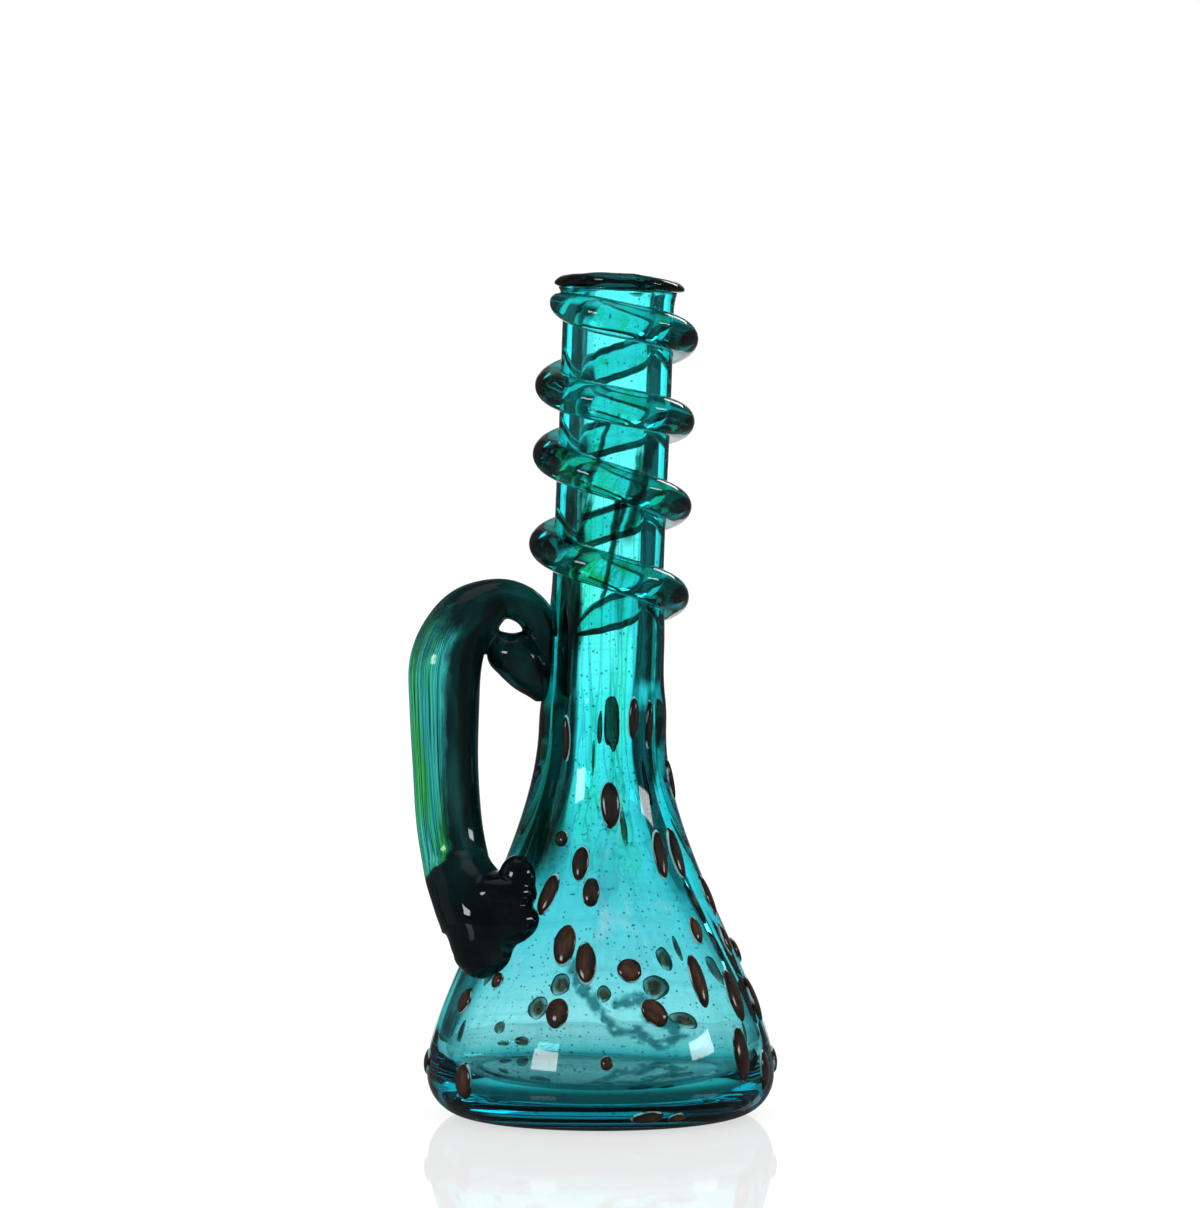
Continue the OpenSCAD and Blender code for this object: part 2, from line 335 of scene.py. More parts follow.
# Turns wound so far, and how far below the lip the trail has come, in pitches
TRAIL_DROP = [(-0.1, 0.17), (0, 0.2), (0.5, 0.6), (1, 1.2), (1.5, 1.58), (2, 2.02), (2.5, 2.6),
              (3, 3.1), (3.5, 3.67), (4, 4.3)]


def neck_side_r(h):
    """Radius of the outside of the neck at a height along its own axis."""
    return side_r(h + lean_z)


def make_trail():
    """The wound thread; its lane is turns, outwards and up across the thread."""
    rings, sides = 640, 40
    drops = smooth_route(TRAIL_DROP, 12)
    points, marks = [], []
    for i in range(rings + 1):
        s = i / rings
        a = trail_start + TAU * trail_turns * s
        taper = math.sin(math.pi / 2 * min(1, (s + 0.012) / 0.08, (1.008 - s) / 0.06))
        half_w = trail_half_w * taper * (1 + 0.05 * ripple(s * 9, 0, 0, 9))
        half_t = trail_half_t * taper * (1 + 0.05 * ripple(s * 11, 3, 0, 10))
        drop = np.interp((a - math.pi) / TAU, drops[:, 0], drops[:, 1])
        mid = neck_len - trail_pitch * drop + 0.25 * ripple(s * 14, 7, 0, 11)
        for j in range(sides):
            t = TAU * j / sides
            h = mid + half_w * math.sin(t)
            wall = float(neck_side_r(h))
            rho = max(wall + 1.2 * taper + half_t * math.cos(t), wall - sink)
            points.append((rho * math.cos(a), rho * math.sin(a), h))
            marks.append((s * trail_turns, math.cos(t), math.sin(t)))
    piece = new_piece("neck_trail_glass", from_neck(np.array(points)), ring_faces(rings + 1, sides))
    if len(piece.data.vertices) == len(marks):
        mark(piece, "lane", marks)
    return piece


# Middle and radius of the cane from its foot to the neck, and of the tail curled back from there
HANDLE_ROUTE = [
    (-36, -22, 45, 4.5), (-35, -24.5, 50.5, 9), (-34.5, -23.5, 58.5, 12.2), (-38, -21, 66, 11.6),
    (-41.4, -17.5, 72.5, 10.4), (-43, -14.5, 78, 9.9), (-44.8, -12.6, 89, 9.8), (-45.8, -12, 105, 9.8),
    (-46.1, -12, 122, 10.4), (-45.7, -11, 135, 10.8), (-42.2, -8.5, 144.4, 9.9), (-36.6, -6, 150.2, 8.8),
    (-29, -4.5, 153.6, 6.2), (-22, -3.5, 151.3, 5.6), (-17.6, -3, 145.4, 5.3), (-17, -3, 138, 5),
    (-17.2, -3, 130, 4.6), (-17.4, -3, 125.5, 3.4)]
TAIL_ROUTE = [
    (-17, -3, 124, 2.6), (-18.4, -4, 127.6, 4.9), (-21, -4.5, 131.6, 6.7), (-24.8, -5.5, 136.3, 7.4),
    (-28.6, -6, 138.8, 6.4), (-32.2, -6.5, 142.2, 3.0), (-36.5, -7, 144.6, 2.6)]
FOOT_LOBES = [      # middle, and half sizes along x, y and z
    ((-30, -25.5, 68), (11.6, 8.5, 6.6)), ((-31, -27.0, 60), (13.8, 9.0, 7.8)),
    ((-34, -24.5, 50.5), (9.4, 9.5, 7)), ((-37.4, -17.5, 50), (5.6, 9, 6.2)),
    ((-24.4, -25.5, 72.8), (5.6, 5.5, 6.8))]


def tube(rows, sides, steps):
    """A round tube along rows of x, y, z and radius, with its middle line and the axes across it."""
    rows = smooth_route(rows, steps)
    middle, radii = rows[:, :3], rows[:, 3]
    along = np.gradient(middle, axis=0)
    along /= np.linalg.norm(along, axis=1)[:, None]
    u = np.cross([0, 1, 0], along)
    u /= np.linalg.norm(u, axis=1)[:, None]
    v = np.cross(along, u)
    t = np.linspace(0, TAU, sides, endpoint=False)
    points = (middle[:, None] + radii[:, None, None]
              * (np.cos(t)[None, :, None] * u[:, None] + np.sin(t)[None, :, None] * v[:, None]))
    return points.reshape(-1, 3), ring_faces(len(rows), sides), middle, u, v


def ball(middle, half, steps=20, sides=32):
    points = []
    for i in range(steps + 1):
        p = math.pi * i / steps
        for j in range(sides):
            t = TAU * j / sides
            points.append((middle[0] + half[0] * math.sin(p) * math.cos(t),
                           middle[1] + half[1] * math.sin(p) * math.sin(t),
                           middle[2] + half[2] * math.cos(p)))
    return np.array(points), ring_faces(steps + 1, sides, caps=False)


def only(piece):
    bpy.ops.object.select_all(action="DESELECT")
    piece.select_set(True)
    bpy.context.view_layer.objects.active = piece


def melt(pieces, name, voxel, rounds):
    """Joins overlapping solids into one smooth skin, as soft glass runs together."""
    only(pieces[0])
    for p in pieces:
        p.select_set(True)
    bpy.ops.object.join()
    piece = bpy.context.view_layer.objects.active
    piece.name = piece.data.name = name
    piece.data.remesh_voxel_size = voxel * MM
    bpy.ops.object.voxel_remesh()
    soften = piece.modifiers.new("soften", "SMOOTH")
    soften.factor = 0.5
    soften.iterations = rounds
    bpy.ops.object.modifier_apply(modifier=soften.name)
    piece.data.polygons.foreach_set("use_smooth", [True] * len(piece.data.polygons))
    return piece


def press_on_wall(piece, depth):
    """Moves points that are deep in the wall out to a set depth, so a foot follows the wall."""
    mesh = piece.data
    co = points_mm(mesh)
    shift = lean_shift(co[:, 2])
    x = co[:, 0] - shift
    rho = np.hypot(x, co[:, 1])
    least = side_r(co[:, 2]) - depth
    k = np.maximum(1, least / rho)
    co[:, 0] = x * k + shift
    co[:, 1] *= k
    mesh.vertices.foreach_set("co", (co * MM).ravel())
    mesh.update()
    return co


def make_handle():
    """Cane, tail and foot melted together; its lane is along the cane, and sideways and back across it."""
    points, faces, middle, u, v = tube(HANDLE_ROUTE, 48, 10)
    parts = [new_piece("cane", points, faces)]
    points, faces = tube(TAIL_ROUTE, 40, 8)[:2]
    parts.append(new_piece("tail", points, faces))
    for where, half in FOOT_LOBES:
        parts.append(new_piece("lobe", *ball(where, half)))
    piece = melt(parts, "handle_glass", voxel=0.55, rounds=10)
    co = press_on_wall(piece, sink)
    every, lane_step = 3, 0.06
    middle, u, v = middle[::every], u[::every], v[::every]
    far = co[:, None, :] - middle[None]
    near = np.argmin((far**2).sum(-1), axis=1)
    off = far[np.arange(len(co)), near]
    forward = np.gradient(middle, axis=0)[near]
    along = near + (off * forward).sum(-1) / (forward**2).sum(-1)
    side = (off * u[near]).sum(-1)
    front = (off * v[near]).sum(-1)
    reach = np.hypot(side, front) + 1e-6
    mark(piece, "lane", np.stack([along * lane_step, side / reach, front / reach], axis=-1))
    return piece


# ---- chips ---------------------------------------------------------------------------------
def islands(node):
    """The separate solids of a CAD node, as arrays of points in millimetres."""
    bm = bmesh.new()
    bm.from_mesh(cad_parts[node].data)
    bmesh.ops.remove_doubles(bm, verts=bm.verts, dist=1e-6)
    seen, groups = set(), []
    for start in bm.verts:
        if start in seen:
            continue
        stack, group = [start], []
        seen.add(start)
        while stack:
            vert = stack.pop()
            group.append(tuple(vert.co / MM))
            for edge in vert.link_edges:
                other = edge.other_vert(vert)
                if other not in seen:
                    seen.add(other)
                    stack.append(other)
        groups.append(np.array(group))
    bm.free()
    return groups


def make_chips(node):
    """One low, uneven lens of glass on the wall for each chip of the CAD node."""
    rings, sides = 7, 26
    top_h, under_h = 0.7 if node.endswith("back") else 1.25, 1.1
    points, faces, marks = [], [], []
    for number, group in enumerate(islands(node)):
        centre = group.mean(0)
        angle = math.atan2(centre[1], centre[0])
        z0 = centre[2]
        slope = math.atan2(side_r(z0 - 2) - side_r(z0 + 2), 4)
        out = np.array([math.cos(angle) * math.cos(slope), math.sin(angle) * math.cos(slope),
                        math.sin(slope)])
        round_ = np.array([-math.sin(angle), math.cos(angle), 0])
        up = np.cross(out, round_)
        flat = np.stack([(group - centre) @ round_, (group - centre) @ up], axis=-1)
        axes = np.linalg.eigh(flat.T @ flat)[1]
        long_axis, short_axis = axes[:, 1], axes[:, 0]
        length = np.abs(flat @ long_axis).max()
        width = np.abs(flat @ short_axis).max()
        seed = number + sum(map(ord, node)) * 0.37
        base = len(points)
        for side, height in ((1, top_h), (-1, under_h)):
            for k in range(rings):
                f = math.sin(math.pi / 2 * (k + 0.001) / (rings - 1 + 0.001))
                lift = height * math.sqrt(max(0, 1 - f * f)) * side
                if side < 0 and k == rings - 1:
                    continue
                for j in range(sides):
                    t = TAU * j / sides
                    edge = 1 + 0.10 * ripple(math.cos(t) * 1.2, math.sin(t) * 1.2, 0, seed)
                    a = length * f * edge * math.cos(t)
                    b = width * f * edge * math.sin(t)
                    dr = a * long_axis[0] + b * short_axis[0]
                    dz = (a * long_axis[1] + b * short_axis[1]) * math.cos(slope)
                    z = z0 + dz
                    r = float(side_r(z))
                    ang = angle + dr / r
                    r += outer_wobble(ang, z) + lift * math.cos(slope)
                    shift = float(lean_shift(z))
                    points.append((r * math.cos(ang) + shift, r * math.sin(ang),
                                   z + lift * math.sin(slope)))
                    marks.append((f * edge * math.cos(t), f * edge * math.sin(t), seed))
        for k in range(rings - 1):
            for j in range(sides):
                m = (j + 1) % sides
                a, b = base + k * sides + j, base + k * sides + m
                faces.append((a, b, b + sides, a + sides))
        low = base + rings * sides
        rim = base + (rings - 1) * sides
        for k in range(rings - 1):
            for j in range(sides):
                m = (j + 1) % sides
                a, b = low + k * sides + j, low + k * sides + m
                c, d = (b + sides, a + sides) if k < rings - 2 else (rim + m, rim + j)
                faces.append((b, a, d, c))
        faces.append(tuple(base + j for j in range(sides))[::-1])
        faces.append(tuple(low + j for j in range(sides)))
    piece = new_piece(node + "_glass", points, faces, weld=False)
    mark(piece, "lane", marks)
    return piece


# ---- materials -----------------------------------------------------------------------------
class Maker:
    """Short names for adding and joining the nodes of one material."""

    def __init__(self, name):
        self.material = bpy.data.materials.new(name)
        self.material.use_nodes = True
        self.tree = self.material.node_tree
        self.tree.nodes.clear()
        self.out = self.tree.nodes.new("ShaderNodeOutputMaterial")

    def add(self, kind, **settings):
        node = self.tree.nodes.new("ShaderNode" + kind)
        for key, value in settings.items():
            if hasattr(node, key):
                setattr(node, key, value)
            else:
                node.inputs[key.replace("_", " ")].default_value = value
        return node

    def join(self, source, target):
        self.tree.links.new(source, target)

    def ramp(self, source, stops):
        node = self.add("ValToRGB")
        while len(node.color_ramp.elements) > 1:
            node.color_ramp.elements.remove(node.color_ramp.elements[-1])
        for i, (place, colour) in enumerate(stops):
            element = node.color_ramp.elements[0] if i == 0 else node.color_ramp.elements.new(place)
            element.position = place
            element.color = (*colour, 1)
        self.join(source, node.inputs[0])
        return node.outputs[0]

    def mix(self, kind, factor, a, b):
        node = self.add("Mix", data_type="RGBA", blend_type=kind)
        for value, socket in ((factor, node.inputs[0]), (a, node.inputs[6]), (b, node.inputs[7])):
            if isinstance(value, bpy.types.NodeSocket):
                self.join(value, socket)
            else:
                socket.default_value = value if isinstance(value, float) else (*value, 1)
        return node.outputs[2]

    def noise(self, vector, scale, detail=3.0, bend=0.0):
        node = self.add("TexNoise", Scale=scale, Detail=detail, Distortion=bend)
        self.join(vector, node.inputs["Vector"])
        return node.outputs["Fac"]

    def sums(self, operation, *values):
        node = self.add("Math", operation=operation)
        for socket, value in zip(node.inputs, values):
            if isinstance(value, bpy.types.NodeSocket):
                self.join(value, socket)
            else:
                socket.default_value = value
        return node.outputs[0]

    def stroke(self, x, z, start, end, width):
        """1 along a line in the plane of x and height, given in millimetres, and 0 beside it."""
        (x0, z0), (x1, z1) = start, end
        line = self.add("MapRange")
        for name, value in (("From Min", z0), ("From Max", z1), ("To Min", x0), ("To Max", x1)):
            line.inputs[name].default_value = value * MM
        self.join(z, line.inputs["Value"])
        off = self.sums("ABSOLUTE", self.sums("SUBTRACT", x, line.outputs["Result"]))
        near = self.fall(off, width * 0.5 * MM, width * MM)
        low, high = min(z0, z1), max(z0, z1)
        outside, inside = 2, 3      # how far the fading at each end reaches
        ends = self.sums("MULTIPLY", self.span(z, (low - outside) * MM, (low + inside) * MM),
                         self.fall(z, (high - inside) * MM, (high + outside) * MM))
        return self.sums("MULTIPLY", near, ends)

    def fall(self, value, low, high):
        """1 below low and 0 above high."""
        return self.sums("SUBTRACT", 1.0, self.span(value, low, high))

    def blend(self, *layers):
        """All the colours multiplied together."""
        colour = layers[0]
        for layer in layers[1:]:
            colour = self.mix("MULTIPLY", 1.0, colour, layer)
        return colour

    def axes(self, vector):
        """A vector's X, Y and Z."""
        parts = self.add("SeparateXYZ")
        self.join(vector, parts.inputs[0])
        return [parts.outputs[axis] for axis in "XYZ"]

    def attribute(self, name):
        return self.add("Attribute", attribute_name=name).outputs["Vector"]

    def place(self):
        """The point in the object's own coordinates, in metres."""
        return self.add("TexCoord").outputs["Object"]

    def span(self, value, low, high):
        """0 below low and 1 above high."""
        node = self.add("MapRange")
        node.inputs["From Min"].default_value = low
        node.inputs["From Max"].default_value = high
        self.join(value, node.inputs["Value"])
        return node.outputs["Result"]

    def stretch(self, vector, scale):
        node = self.add("Mapping", Scale=scale)
        self.join(vector, node.inputs["Vector"])
        return node.outputs["Vector"]


WHITE = (1.0, 1.0, 1.0)
glass_ior = 1.5


def rim_shade(m, colour, start):
    """Painted shade: darkens what is seen edge on, where light runs a long way through thick glass."""
    facing = m.add("LayerWeight", Blend=0.5).outputs["Facing"]
    return m.ramp(facing, [(0.0, WHITE), (start, WHITE), (1.0, colour)])


def glass(m, colour, rough, absorb, density):
    """Clear glass with a colour in its skin, and in its depth if it has a density."""
    shader = m.shader = m.add("BsdfPrincipled", Roughness=rough, IOR=glass_ior)
    shader.inputs["Transmission Weight"].default_value = 1.0
    m.join(colour, shader.inputs["Base Color"])
    m.join(shader.outputs[0], m.out.inputs["Surface"])
    if density:
        volume = m.add("VolumeAbsorption", Density=density)
        volume.inputs["Color"].default_value = (*absorb, 1)
        m.join(volume.outputs[0], m.out.inputs["Volume"])
    return m.material


# Dark cords in the glass of the neck, as start, end (x and height) and width
STROKES = [((16, 202), (12.2, 190), 2.2), ((12.2, 191), (7.5, 171), 1.9), ((11.5, 199), (9.0, 184), 1.1),
           ((8.8, 190), (4.5, 172), 0.9), ((5.6, 186), (2.6, 163), 1.2), ((3.4, 208), (-2.5, 190), 0.8),
           ((0.4, 197), (-5, 181), 0.9), ((-1.8, 185), (-7, 170), 1.1), ((2.6, 166), (0.5, 152), 0.8),
           ((-8.5, 187), (-10, 165), 2.2), ((-11, 166), (-11.5, 120), 2.9), ((-5.5, 156), (-7, 138), 1.5),
           ((15.5, 154), (14.5, 127), 2.2), ((14.5, 129), (15.5, 98), 1.7)]


# The vessel's tone by share of its height, with painted shade near the foot that runs to nearly black at
# the heel
TONES_AND_HEEL_SHADE = [
    (0.0, (0.01, 0.02, 0.02)), (0.009, (0.02, 0.06, 0.06)), (0.018, (0.12, 0.30, 0.32)),
    (0.034, (0.36, 0.56, 0.60)), (0.055, (0.78, 0.80, 0.82)), (0.08, (0.86, 0.84, 0.86)),
    (0.28, (0.86, 0.77, 0.82)), (0.44, (0.94, 0.92, 0.94)), (0.56, (1.0, 1.0, 1.0)),
    (1.0, (0.95, 1.0, 1.0))]


def vessel_glass():
    m = Maker("turquoise_glass")
    place = m.place()
    across, depth, rise = m.axes(place)
    # tone by height, with painted shade near the foot
    tone_and_heel_shade = m.ramp(m.span(rise, 0.0, total_h * MM), TONES_AND_HEEL_SHADE)
    streaks = m.noise(m.stretch(place, (230, 230, 8)), 1.0, 3.0)
    tint = m.ramp(streaks, [(0.30, (0.80, 0.92, 0.90)), (0.50, WHITE), (0.75, (0.92, 0.98, 0.98))])
    # threads and green veins, strongest on the shoulder
    shoulder = m.ramp(m.span(rise, 0.06, 0.20), [
        (0.0, (0, 0, 0)), (0.2, WHITE), (0.7, WHITE), (1.0, (0.25, 0.25, 0.25))])
    threads = m.noise(m.stretch(place, (170, 170, 5)), 1.0, 2.0)
    thread = m.ramp(threads, [(0.56, WHITE), (0.585, (0.15, 0.40, 0.38)), (0.61, WHITE)])
    greens = m.noise(m.stretch(place, (75, 75, 12)), 1.0, 2.0)
    green = m.ramp(greens, [(0.56, WHITE), (0.68, (0.50, 0.95, 0.62))])
    # faint level rings, and dark seeds
    rings = m.noise(m.stretch(place, (14, 14, 420)), 1.0, 2.0)
    lines = m.ramp(rings, [(0.34, (0.80, 0.90, 0.90)), (0.42, WHITE), (0.64, WHITE),
                           (0.70, (0.88, 0.95, 0.95))])
    seeds = m.add("TexVoronoi", Scale=330.0)
    m.join(place, seeds.inputs["Vector"])
    dots = m.ramp(seeds.outputs["Distance"], [(0.0, (0.03, 0.12, 0.14)), (0.11, (0.10, 0.25, 0.27)),
                                              (0.15, WHITE)])
    # painted shade along the creases in the back wall, and the floor inside
    fold_mark = m.axes(m.attribute("painted_crease_shade"))[0]
    mottle = m.sums("MULTIPLY", fold_mark, m.span(m.noise(place, 320, 4.0), 0.18, 0.44))
    painted_crease_shade = m.ramp(mottle, [(0.05, WHITE), (0.25, (0.14, 0.34, 0.34)), (0.5, (0.02, 0.08, 0.09))])
    within = m.add("VectorMath", operation="LENGTH")
    m.join(m.stretch(place, (1, 1, 0)), within.inputs[0])
    inner_floor = m.sums("MULTIPLY", m.fall(rise, 0.0098, 0.0112),
                         m.fall(within.outputs["Value"], 0.043, 0.0455))
    deep = m.mix("MIX", inner_floor, WHITE, (0.30, 0.52, 0.56))
    # painted shade where it is seen edge on, most of all on the shoulder
    facing = m.add("LayerWeight", Blend=0.5).outputs["Facing"]
    edge = m.sums("MULTIPLY_ADD", shoulder, 0.22, facing)
    rim = m.ramp(edge, [(0.50, WHITE), (0.72, (0.18, 0.50, 0.52)), (1.0, (0.01, 0.09, 0.10))])
    # drawn cords on the front of the neck, and painted shade on the left side of the shoulder
    sway = m.noise(m.stretch(place, (0, 0, 90)), 1.0, 2.0)
    x = m.sums("ADD", across, m.sums("MULTIPLY", m.sums("SUBTRACT", sway, 0.5), 0.005))
    cords = 0.0
    for start, end, width in STROKES:
        cords = m.sums("MAXIMUM", m.stroke(x, rise, start, end, width), cords)
    cords = m.sums("MULTIPLY", cords, m.fall(depth, -0.004, 0.0))
    inward = m.sums("ADD", x, m.sums("MULTIPLY", streaks, 0.005))
    painted_left_shade = m.ramp(m.span(inward, -0.013, -0.0075), [(0.0, (0.05, 0.17, 0.12)), (1.0, WHITE)])
    painted_left_shade_band = m.sums("MULTIPLY", m.span(rise, 0.066, 0.082), m.fall(rise, 0.125, 0.15))
    colour = m.blend(tone_and_heel_shade, tint)
    for share, layer in ((cords, (0.004, 0.07, 0.05)), (painted_left_shade_band, painted_left_shade), (shoulder, thread),
                         (shoulder, green)):
        colour = m.mix("MULTIPLY", share, colour, layer)
    colour = m.blend(colour, lines, dots, painted_crease_shade, deep, rim)
    # milky wisps in the body
    wisps = m.noise(m.stretch(place, (110, 110, 20)), 1.0, 4.0, bend=0.8)
    band = m.sums("MULTIPLY", m.span(rise, 0.035, 0.055), m.fall(rise, 0.080, 0.105))
    milk = m.sums("MULTIPLY", m.sums("MULTIPLY", m.span(wisps, 0.56, 0.74), band), 0.18)
    glass(m, colour, 0.0, (0.05, 0.95, 0.965), 190)
    m.join(m.sums("SUBTRACT", 1.0, milk), m.shader.inputs["Transmission Weight"])
    return m.material


def trail_glass():
    m = Maker("teal_trail_glass")
    lane = m.attribute("lane")
    streaks = m.noise(m.stretch(lane, (9, 0.6, 0.6)), 1.0, 4.0)
    tint = m.ramp(streaks, [(0.34, (0.10, 0.60, 0.22)), (0.42, (0.75, 0.98, 0.90)), (0.60, WHITE),
                            (0.70, (0.25, 0.75, 0.40))])
    fibre = m.noise(m.stretch(lane, (0.8, 6, 6)), 1.0, 3.0)
    lines = m.ramp(fibre, [(0.32, (0.72, 0.88, 0.86)), (0.42, WHITE)])
    # painted shade on the thread's top and bottom edges next to the wall, and where it is seen edge on
    painted_seam_shade = m.ramp(m.sums("ABSOLUTE", m.axes(lane)[2]), [(0.84, WHITE), (0.93, (0.20, 0.42, 0.42))])
    rim = rim_shade(m, (0.002, 0.02, 0.022), 0.55)
    return glass(m, m.blend(tint, painted_seam_shade, lines, rim), 0.0, (0.05, 0.80, 0.81), 240)


def handle_material():
    """Near-black glass whose leg carries a patch of green and turquoise streaks in its skin; the patch's
    brightness is painted light, standing in for light refracted through the cane.
    """
    m = Maker("handle_glass")
    lane = m.attribute("lane")
    along, side, back = m.axes(lane)
    # where the streaks and painted light go: the outer front of the leg, between the foot and the arc
    jagged = m.sums("MULTIPLY", m.noise(m.stretch(lane, (7, 3, 3)), 1.0, 5.0), 0.5)
    slant = m.sums("MULTIPLY", along, -0.3)
    inner = m.fall(m.sums("ADD", m.sums("ADD", side, jagged), slant), -0.36, -0.06)
    front = m.fall(back, 0.1, 0.5)
    top = m.fall(m.sums("ADD", along, jagged), 2.0, 2.3)
    foot = m.span(m.sums("ADD", along, m.sums("MULTIPLY", jagged, 0.12)), 0.86, 0.89)
    streaks_and_painted_light = m.sums("MULTIPLY", m.sums("MULTIPLY", inner, front), m.sums("MULTIPLY", top, foot))
    # its colour: green on the outer side and low down, turquoise elsewhere, with dark cords
    green_share = m.ramp(m.span(side, -1.0, 0.0), [
        (0.0, (0.2, 0.2, 0.2)), (0.12, WHITE), (0.5, (0.9, 0.9, 0.9)), (0.75, (0, 0, 0))])
    low = m.fall(along, 1.1, 1.4)
    blotch = m.span(m.noise(m.stretch(lane, (2.5, 3, 3)), 1.0, 2.0), 0.35, 0.55)
    greenness = m.sums("MULTIPLY", m.sums("MAXIMUM", green_share, low), blotch)
    hue = m.mix("MIX", greenness, (0.06, 0.66, 0.64), (0.05, 0.56, 0.15))
    fine = m.noise(m.stretch(lane, (0.35, 9, 9)), 1.0, 3.0, bend=0.5)
    cord = (0.03, 0.10, 0.08)
    cords = m.ramp(fine, [
        (0.34, cord), (0.39, (0.8, 0.8, 0.8)), (0.43, WHITE), (0.445, cord), (0.475, cord),
        (0.49, (1.2, 1.15, 1)), (0.53, (1, 1, 0.9)), (0.545, cord), (0.575, cord), (0.59, WHITE),
        (0.66, (0.10, 0.30, 0.26))])
    # the dark rest, cloudy, and dullest in the foot and the tail
    cloud = m.ramp(m.noise(m.stretch(lane, (2.5, 1.2, 1.2)), 1.0, 3.0), [
        (0.40, (0.008, 0.030, 0.032)), (0.55, (0.013, 0.050, 0.052)), (0.68, (0.035, 0.17, 0.16))])
    stem = m.ramp(m.span(along, 0.0, 3.4), [
        (0.16, (0.55, 0.45, 0.5)), (0.30, WHITE), (0.62, WHITE), (0.82, (0.4, 0.4, 0.4))])
    glass(m, m.mix("MIX", streaks_and_painted_light, m.blend(cloud, stem), m.blend(hue, cords)), 0.0,
          (0.02, 0.74, 0.74), 260)
    # the patch lets less light through, so its painted light shows as its own colour
    clearness, streaks_and_painted_light_loss = 0.82, 0.62
    m.join(m.sums("SUBTRACT", clearness, m.sums("MULTIPLY", streaks_and_painted_light, streaks_and_painted_light_loss)),
           m.shader.inputs["Transmission Weight"])
    return m.material


def lip_material():
    m = Maker("dark_teal_glass")
    blotch = m.noise(m.place(), 120, 2.0)
    tint = m.ramp(blotch, [(0.35, (0.05, 0.16, 0.17)), (0.65, (0.16, 0.40, 0.40))])
    shade = rim_shade(m, (0.01, 0.06, 0.07), 0.4)
    return glass(m, m.blend(tint, shade), 0.0, (0.02, 0.6, 0.6), 500)


def chip_reach(m, lane):
    """Distance from the middle of a chip, as a share of its half size."""
    flat = m.add("VectorMath", operation="MULTIPLY")
    m.join(lane, flat.inputs[0])
    flat.inputs[1].default_value = (1, 1, 0)
    reach = m.add("VectorMath", operation="LENGTH")
    m.join(flat.outputs[0], reach.inputs[0])
    return reach.outputs["Value"]


def chip_material():
    """Nearly opaque glass, brown, with painted shade as a dark margin and, on part of its edge, a painted
    pale line of light.
    """
    m = Maker("brown_chip_glass")
    lane = m.attribute("lane")
    reach = chip_reach(m, lane)
    grain = m.noise(m.stretch(lane, (1.0, 1.6, 3)), 1.0, 3.0)
    warm = m.ramp(grain, [(0.34, (0.022, 0.017, 0.015)), (0.52, (0.052, 0.028, 0.019)),
                          (0.68, (0.095, 0.048, 0.028))])
    cold = m.ramp(grain, [(0.34, (0.010, 0.013, 0.013)), (0.68, (0.034, 0.026, 0.022))])
    depth, rise = m.axes(m.place())[1:]
    tint = m.mix("MIX", m.span(rise, 0.055, 0.085), warm, cold)
    # painted shade at the margin, and a painted pale line of light on part of the edge
    painted_margin_shade = m.ramp(reach, [(0.0, WHITE), (0.55, (0.85, 0.8, 0.8)), (0.85, (0.3, 0.35, 0.35))])
    part = m.noise(m.stretch(lane, (0.9, 0.9, 2)), 1.0, 0.0)
    painted_edge_light = m.sums("MULTIPLY", m.span(reach, 0.90, 0.95), m.span(part, 0.42, 0.52))
    near = m.mix("MIX", painted_edge_light, m.blend(tint, painted_margin_shade), (0.30, 0.62, 0.65))
    # on the far side of the neck a chip is clearer and greener
    behind = m.span(depth, 0.0, 0.006)
    glass(m, m.mix("MIX", behind, near, (0.10, 0.12, 0.09)), 0.12, None, 0)
    m.join(m.sums("ADD", m.sums("MULTIPLY", behind, 0.75), 0.15),
           m.shader.inputs["Transmission Weight"])
    return m.material


def faded_chip_material():
    """The same glass where a chip has melted in and spread: brown in the middle, clear at its edge."""
    m = Maker("faded_chip_glass")
    lane = m.attribute("lane")
    grain = m.noise(m.stretch(lane, (1.6, 2.5, 3)), 1.0, 4.0)
    tint = m.ramp(grain, [(0.36, (0.10, 0.035, 0.02)), (0.64, (0.30, 0.13, 0.07))])
    edge = m.span(m.sums("ADD", chip_reach(m, lane), m.sums("MULTIPLY", grain, 0.5)), 0.75, 1.25)
    return glass(m, m.mix("MIX", edge, tint, (0.95, 0.97, 0.97)), 0.28, None, 0)


def floor_material():
    """White and nearly shadowless, as over a light table, with a faint gloss; dim in reflections."""
    m = Maker("floor_white")
    reflected = m.add("LightPath").outputs["Is Reflection Ray"]
    glow = m.add("MapRange")
    glow.inputs["To Min"].default_value = 0.84
    glow.inputs["To Max"].default_value = 0.05
    m.join(reflected, glow.inputs["Value"])
    shader = m.add("BsdfPrincipled", Roughness=0.5)
    m.join(m.mix("MIX", reflected, (0.18, 0.18, 0.18), (0.05, 0.05, 0.05)),
           shader.inputs["Base Color"])
    shader.inputs["Specular IOR Level"].default_value = 0.0
    shader.inputs["Coat Weight"].default_value = 0.44
    shader.inputs["Coat Roughness"].default_value = 0.04
    shader.inputs["Emission Color"].default_value = (1, 1, 1, 1)
    m.join(glow.outputs["Result"], shader.inputs["Emission Strength"])
    m.join(shader.outputs[0], m.out.inputs["Surface"])
    return m.material


# ---- pieces ---------------------------------------------------------------------------------
def finish_piece(piece, material, slot, *nodes):
    piece.data.materials.append(material)
    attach(piece, "root")
    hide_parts(*nodes)


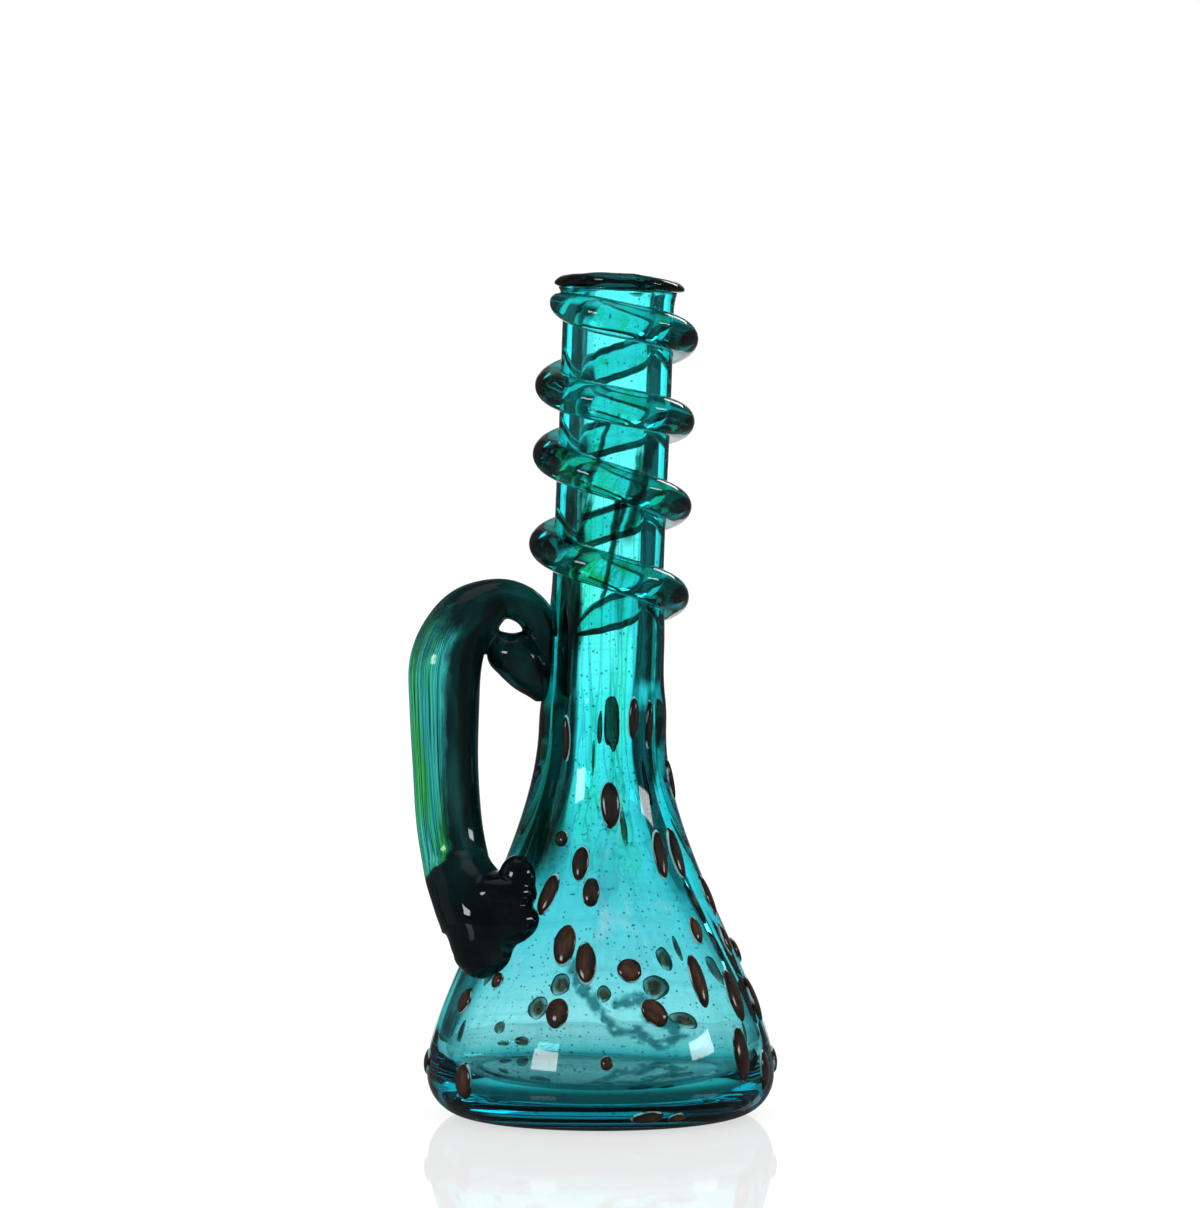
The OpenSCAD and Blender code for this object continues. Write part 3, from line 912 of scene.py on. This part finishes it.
finish_piece(make_vessel(), vessel_glass(), "turquoise_glass", "vessel")
finish_piece(make_lip(), lip_material(), "dark_teal_glass", "lip_wrap")
finish_piece(make_trail(), trail_glass(), "teal_trail_glass", "neck_trail")
finish_piece(make_handle(), handle_material(), "handle_glass", "handle")

brown_glass = chip_material()
faded_glass = faded_chip_material()
for chip_node in sorted(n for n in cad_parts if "chips" in n):
    chip_glass = faded_glass if chip_node.endswith("back") else brown_glass
    finish_piece(make_chips(chip_node), chip_glass, "brown_chip_glass", chip_node)


# ---- floor, light and world ------------------------------------------------------------------
def make_floor():
    """A round white table just under the foot. From the front, the world beyond it is as white."""
    steps, radius, drop = 96, 320.0, -0.2
    a = np.linspace(0, TAU, steps, endpoint=False)
    points = np.stack([radius * np.cos(a), radius * np.sin(a), np.full(steps, drop)], axis=-1)
    floor = new_piece("floor", points, [tuple(range(steps))], smooth=False)
    floor.data.materials.append(floor_material())


# White screens round the bottle: direction from +X in degrees, and half width
SCREENS = [(86, 17), (180, 13)]
# Small bright softboxes: direction from +X, half width, lowest and highest elevation, strength
SOFTBOXES = [(231, 8, 14, 23, 10.0), (346, 9, 15, 21, 9.0), (60, 7, 20, 36, 5.0)]
ambient = 0.07
plain_white = 1.08
screen_glow = 1.4
screen_mirrored = 0.12          # share of a screen left when it is seen by reflection
screen_fade = (35, 50)          # elevations between which the screens end
ceiling_glow = 0.4


def make_world():
    """A dim studio with white screens, a ceiling and softboxes; plain white to the camera."""
    world = bpy.data.worlds.new("studio")
    bpy.context.scene.world = world
    world.use_nodes = True
    tree = world.node_tree
    tree.nodes.clear()

    def add(kind, **settings):
        node = tree.nodes.new("ShaderNode" + kind)
        for key, value in settings.items():
            setattr(node, key, value)
        return node

    def feed(node, *values):
        for socket, value in zip(node.inputs, values):
            if isinstance(value, bpy.types.NodeSocket):
                tree.links.new(value, socket)
            elif value is not None:
                socket.default_value = value
        return node.outputs[0]

    def sums(operation, *values):
        return feed(add("Math", operation=operation), *values)

    def step(value, low, high):
        """0 below low and 1 above high, with a smooth rise between them."""
        return feed(add("MapRange", interpolation_type="SMOOTHSTEP"), value, low, high)

    def drop(value, low, high):
        return sums("SUBTRACT", 1.0, step(value, low, high))

    def lift(elevation):
        return math.sin(math.radians(elevation))

    direction = add("TexCoord").outputs["Generated"]
    parts = add("SeparateXYZ")
    tree.links.new(direction, parts.inputs[0])
    rise = parts.outputs["Z"]
    flat = feed(add("CombineXYZ"), parts.outputs["X"], parts.outputs["Y"], 0.0)
    level = feed(add("VectorMath", operation="NORMALIZE"), flat)

    def toward(angle, half, soft):
        """1 within half of a direction round the bottle, fading to 0 over soft, all in degrees."""
        a = math.radians(angle)
        dot = add("VectorMath", operation="DOT_PRODUCT")
        tree.links.new(level, dot.inputs[0])
        dot.inputs[1].default_value = (math.cos(a), math.sin(a), 0)
        return step(dot.outputs["Value"], math.cos(math.radians(half + soft)),
                    math.cos(math.radians(half)))

    path = add("LightPath")
    reflected = path.outputs["Is Reflection Ray"]
    mirrored = feed(add("Mix"), reflected, None, 1.0, screen_mirrored)
    light = ambient
    low = drop(rise, *map(lift, screen_fade))
    for angle, half in SCREENS:
        screen = sums("MULTIPLY", toward(angle, half, 7), low)
        glow = sums("MULTIPLY", mirrored, screen_glow)
        light = sums("MAXIMUM", sums("MULTIPLY", screen, glow), light)
    ceiling = sums("MULTIPLY", step(rise, 0.90, 0.97), ceiling_glow)
    light = sums("MAXIMUM", ceiling, light)
    under = drop(rise, -0.30, -0.14)
    light = sums("MAXIMUM", sums("MULTIPLY", under, mirrored), light)
    for angle, half, bottom, top, strength in SOFTBOXES:
        above = step(rise, lift(bottom - 1), lift(bottom))
        below = drop(rise, lift(top), lift(top + 1))
        box = sums("MULTIPLY", sums("MULTIPLY", toward(angle, half, 0.6), above), below)
        light = sums("MAXIMUM", sums("MULTIPLY", box, strength), light)
    # plain white as a background, in the light on the floor, and in the floor's gloss from the front
    plain = sums("MAXIMUM", path.outputs["Is Camera Ray"], path.outputs["Is Diffuse Ray"])
    behind = sums("MULTIPLY", toward(90, 12, 4), drop(rise, 0.17, 0.24))
    plain = sums("MAXIMUM", plain, sums("MULTIPLY", behind, reflected))
    strength = feed(add("Mix"), plain, None, light, plain_white)
    out = add("OutputWorld")
    background = add("Background")
    background.inputs["Color"].default_value = (1, 1, 1, 1)
    tree.links.new(strength, background.inputs["Strength"])
    tree.links.new(background.outputs[0], out.inputs["Surface"])


make_floor()
make_world()
scene = bpy.context.scene
scene.view_settings.view_transform = "Standard"
scene.cycles.max_bounces = 32
scene.cycles.transmission_bounces = 32
scene.cycles.glossy_bounces = 8

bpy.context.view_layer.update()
